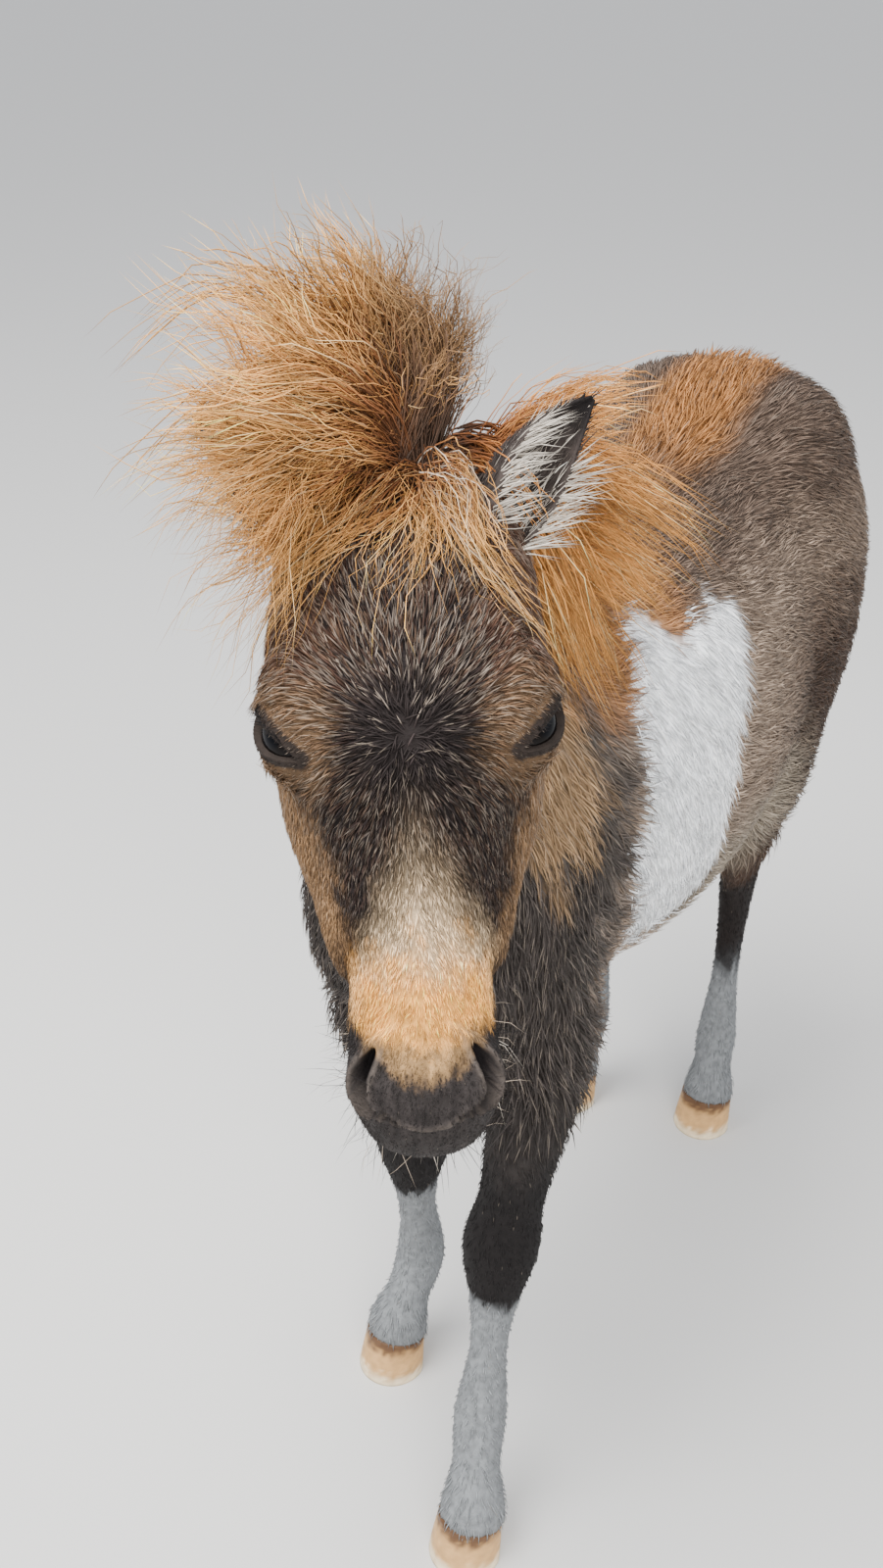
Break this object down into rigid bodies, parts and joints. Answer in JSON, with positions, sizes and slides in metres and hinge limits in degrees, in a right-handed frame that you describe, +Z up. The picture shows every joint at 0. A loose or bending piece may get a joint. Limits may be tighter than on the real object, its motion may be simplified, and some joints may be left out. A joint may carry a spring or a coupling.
{
  "type": "shetland pony",
  "caption": "Still life-size model of a young piebald Shetland pony standing on four hooves, head turned and lowered, with a frizzy forelock and mane.",
  "frame": {"origin": "on the floor under the middle of the pony's bounding box", "axes": "+X to the pony's left, -Y forward along the body, +Z up"},
  "size_m": [0.322, 0.9516, 1.0396],
  "materials": {
    "body_coat": "soft brown and white fur",
    "neck_coat": "dark frosted fur",
    "face_coat": "short fur, tan over the nose",
    "leg_coat": "short white fur with dark knees",
    "long_hair": "frizzy rust-coloured hair",
    "horn": "smooth horn",
    "eye": "wet and glossy"
  },
  "bodies": {
    "root": {"torso": "body_coat", "neck": "neck_coat", "head": "face_coat", "ear_left": "face_coat", "ear_right": "face_coat", "eye_left": "eye", "eye_right": "eye", "forelock": "long_hair", "mane": "long_hair", "tail": "long_hair", "leg_front_left": "leg_coat", "leg_front_right": "leg_coat", "leg_hind_left": "leg_coat", "leg_hind_right": "leg_coat", "hoof_front_left": "horn", "hoof_front_right": "horn", "hoof_hind_left": "horn", "hoof_hind_right": "horn"}
  },
  "joints": []
}
